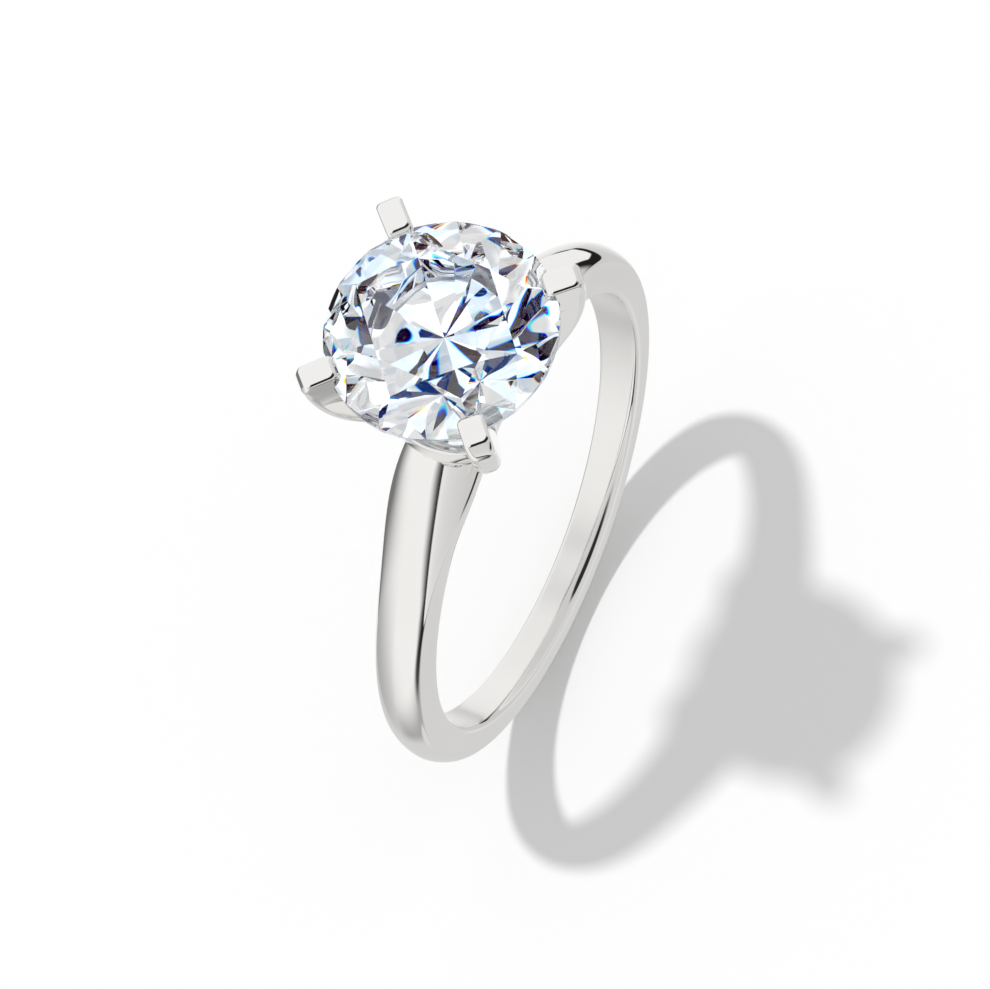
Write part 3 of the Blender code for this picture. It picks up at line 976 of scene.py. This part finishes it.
def disc(direction, turn, rise, full, gone):
    # 1 within so many degrees of a direction, easing to 0
    angle = aimed(direction, skyAxis(turn, rise)).held(-1.0, 1.0).to("ARCCOSINE") * math.degrees(1.0)
    return angle.eased(gone, full)


def blend(share, first, second):
    return (second - first) * share + first


def coverage(places, direction, ranges):
    # The product of a layer's ranges, each easing from 0 to 1
    covered = 1.0
    for name, *span in ranges:
        share = disc(direction, *span) if name == "disc" else places[name].eased(*span)
        covered = share * covered
    return covered


def painted(sky, places, direction, layer):
    kind, amount, *ranges = layer
    covered = coverage(places, direction, ranges)
    if kind == "dim":
        return sky * (1.0 - amount * covered)
    return blend(covered, sky, amount)


def skyPlaces(direction):
    # The coordinates that the layers' ranges are given in, all in degrees
    rise = aimed(direction, skyValues["pole"]).held(-1.0, 1.0).to("ARCSINE") * math.degrees(1.0)
    across = aimed(direction, skyValues["quarter"])
    turn = across.to("ARCTAN2", aimed(direction, skyValues["start"])) * math.degrees(1.0)
    turn = turn + 360.0 * turn.to("LESS_THAN", 0.0)
    slant = turn + rise
    wave = ((turn - skyValues["edgePeak"]) * math.radians(skyValues["edgeWaves"])).to("COSINE")
    return {
        "turn": turn,
        "rise": rise,
        "slant": slant,
        "above": rise - (wave * skyValues["edgeSwing"] + skyValues["edgeHeight"]),
        "hookTail": turn + skyValues["hookTailLean"] * rise,
        "hookTip": slant - skyValues["hookTipStep"] * rise.eased(*skyValues["hookTipRises"]),
        "hookFoot": rise - skyValues["hookFootLean"] * turn,
    }


def mirrorSky(direction):
    # What polished metal mirrors: a big bright lobe, a crisp black flag line, a grey strip
    places = skyPlaces(direction)
    turn, rise, above = places["turn"], places["rise"], places["above"]
    lobe = blend(rise.eased(*skyValues["lobeFade"]), skyValues["lobe"], skyValues["lobeFar"])
    for layer in lobeLayers.values():
        lobe = painted(lobe, places, direction, layer)
    dark = coverage(places, direction, hookDark)
    bright = coverage(places, direction, hookBright)
    lobe = blend(dark * (1.0 - bright), lobe, skyValues["flag"])
    lobe = blend(bright, lobe, skyValues["backDisc"])
    lobe = painted(lobe, places, direction, farSide)
    width = skyValues["lineWidth"] \
        + skyValues["lineRightWidth"] * turn.eased(*skyValues["lineRightTurns"]) \
        + skyValues["lineLeftWidth"] * turn.eased(*skyValues["lineLeftTurns"])
    line = (above / width).eased(*skyValues["lineFade"]) * coverage(places, direction, lineEnds)
    lobe = blend(line, lobe, skyValues["flag"])
    lobe = painted(lobe, places, direction, cornerFlag)
    strip = blend((-above).eased(*skyValues["stripFade"]), skyValues["strip"], skyValues["stripFar"])
    glow = (above.to("MINIMUM", 0.0) * skyValues["stripLineFall"]).to("EXPONENT")
    strip = strip + skyValues["stripLine"] * glow
    for layer in stripLayers.values():
        strip = painted(strip, places, direction, layer)
    return blend(above.eased(-skyValues["edgeBlur"], skyValues["edgeBlur"]), strip, lobe)


def makeFloor():
    shape = bmesh.new()
    bmesh.ops.create_grid(shape, x_segments=1, y_segments=1, size=studioValues["floorSize"])
    lowest = cadBox[0][2] - studioValues["floorGap"]
    bmesh.ops.translate(shape, vec=(0.0, 0.0, lowest), verts=shape.verts)
    floor = addObject("floor", finishMesh(shape, "floor"))
    floor.visible_glossy = False
    floor.visible_transmission = False
    material, net = newMaterial("paleFloor")
    shader = net.add("ShaderNodeBsdfDiffuse", None, {"Color": (*studioValues["floorColour"], 1.0)})[0]
    net.add("ShaderNodeOutputMaterial", None, {"Surface": shader})
    floor.data.materials.append(material)


stoneSkyValues = {
    "place": (9.3, 2.2, 4.1),
    "level": 1.2,
    "flagScale": 3.2,
    "flagEdge": 0.41,
    "flagFade": 0.02,
    "fireScale": 1.3,
    "fireMiddle": 0.47,
    "fireSpread": 0.1,
    "paleScale": 1.6,
    "paleRange": (0.5, 0.62),
    "paleTint": (0.79, 0.89, 1.0),
    "greyScale": 3.4,
    "greyRange": (0.48, 0.6),
    "greyShare": 0.4,
    "navyScale": 2.3,
    "navyRange": (0.53, 0.6),
    "navy": (0.003, 0.03, 0.13),
    "headDisc": (227.0, 64.0, 12.0, 34.0),
    "headLight": 0.25,
}


def stoneSky(net, direction):
    # What light leaving the stone meets: black and navy flags in a white room, whose
    # edges fall apart into blue and peach as a hard stone's fire does
    values = stoneSkyValues
    place = net.add("ShaderNodeVectorMath", {"operation": "ADD"}, {0: direction, 1: values["place"]})[0]

    def noise(name):
        sockets = {"Vector": place, "Scale": values[name + "Scale"], "Detail": 0.0}
        return net.add("ShaderNodeTexNoise", None, sockets)[0]

    pale = noise("pale").eased(*values["paleRange"])
    grey = noise("grey").eased(*values["greyRange"])
    blue = noise("navy").eased(*values["navyRange"])
    parts = net.add("ShaderNodeSeparateXYZ", None, {0: direction})
    head = disc((parts["X"], parts["Y"], parts["Z"]), *values["headDisc"])
    flags = noise("flag") + head * values["headLight"]
    shift = (noise("fire") - values["fireMiddle"]) * values["fireSpread"]
    low = values["flagEdge"]
    high = low + values["flagFade"]
    channels = []
    for side, tint, dark in zip((-1.0, 0.0, 1.0), values["paleTint"], values["navy"]):
        light = (flags + shift * side).eased(low, high)
        bright = (1.0 - (1.0 - tint) * pale) * (1.0 - values["greyShare"] * grey)
        channels.append(blend(light, blue * dark, bright * values["level"]))
    return net.add("ShaderNodeCombineColor", None, dict(enumerate(channels)))[0]


def makeWorld():
    # Plain even light for everything, and flags and bright walls for what is mirrored
    world = bpy.data.worlds.new("studioSky")
    bpy.context.scene.world = world
    world.use_nodes = True
    world.node_tree.nodes.clear()
    net = Net(world.node_tree)
    generated = net.add("ShaderNodeTexCoord")["Generated"]
    parts = net.add("ShaderNodeSeparateXYZ", None, {0: generated})
    seen = mirrorSky((parts["X"], parts["Y"], parts["Z"]))
    path = net.add("ShaderNodeLightPath")
    plain = blend(path["Is Camera Ray"], studioValues["skyLevel"], 1.0)
    grey = blend(path["Is Glossy Ray"], plain, seen)
    grey = net.add("ShaderNodeCombineColor", None, {0: grey, 1: grey, 2: grey})[0]
    colour = net.mixColour(path["Is Transmission Ray"], grey, stoneSky(net, generated))
    sky = net.add("ShaderNodeBackground", None, {"Color": colour, "Strength": 1.0})[0]
    net.add("ShaderNodeOutputWorld", None, {"Surface": sky})


def makeSun():
    sun = bpy.data.lights.new("keyLight", "SUN")
    sun.energy = studioValues["sunLevel"]
    sun.angle = math.radians(studioValues["sunAngle"])
    holder = addObject("keyLight", sun)
    aim = Vector(studioValues["sunDirection"])
    holder.rotation_mode = "QUATERNION"
    holder.rotation_quaternion = aim.to_track_quat("-Z", "Y")
    holder.visible_glossy = False
    holder.visible_transmission = False


cameraValues = {
    "sensorWidth": 36.0,
    "focalLength": 142.01,
    "nearest": 0.01,
    "farthest": 50.0,
    "right": (0.40861, -0.89403, -0.18371),
    "up": (0.86241, 0.31229, 0.3984),
    "back": (-0.29881, -0.32122, 0.89862),
    "place": (-43.108, -45.367, 129.842),
}


def makeCamera():
    lens = bpy.data.cameras.new("camera")
    lens.sensor_width = cameraValues["sensorWidth"]
    lens.lens = cameraValues["focalLength"]
    lens.clip_start = cameraValues["nearest"]
    lens.clip_end = cameraValues["farthest"]
    camera = addObject("camera", lens)
    axes = [Vector(cameraValues[name]) for name in ("right", "up", "back")]
    place = Matrix(axes).transposed().to_4x4()
    place.translation = Vector(cameraValues["place"]) * millimetre
    camera.matrix_world = place
    bpy.context.scene.camera = camera


makeFloor()
makeWorld()
makeSun()
makeCamera()
bpy.context.scene.view_settings.view_transform = "Standard"
bpy.context.scene.cycles.glossy_bounces = studioValues["facetBounces"]
bpy.context.scene.cycles.transmission_bounces = studioValues["facetBounces"]
bpy.context.scene.cycles.max_bounces = studioValues["allBounces"]
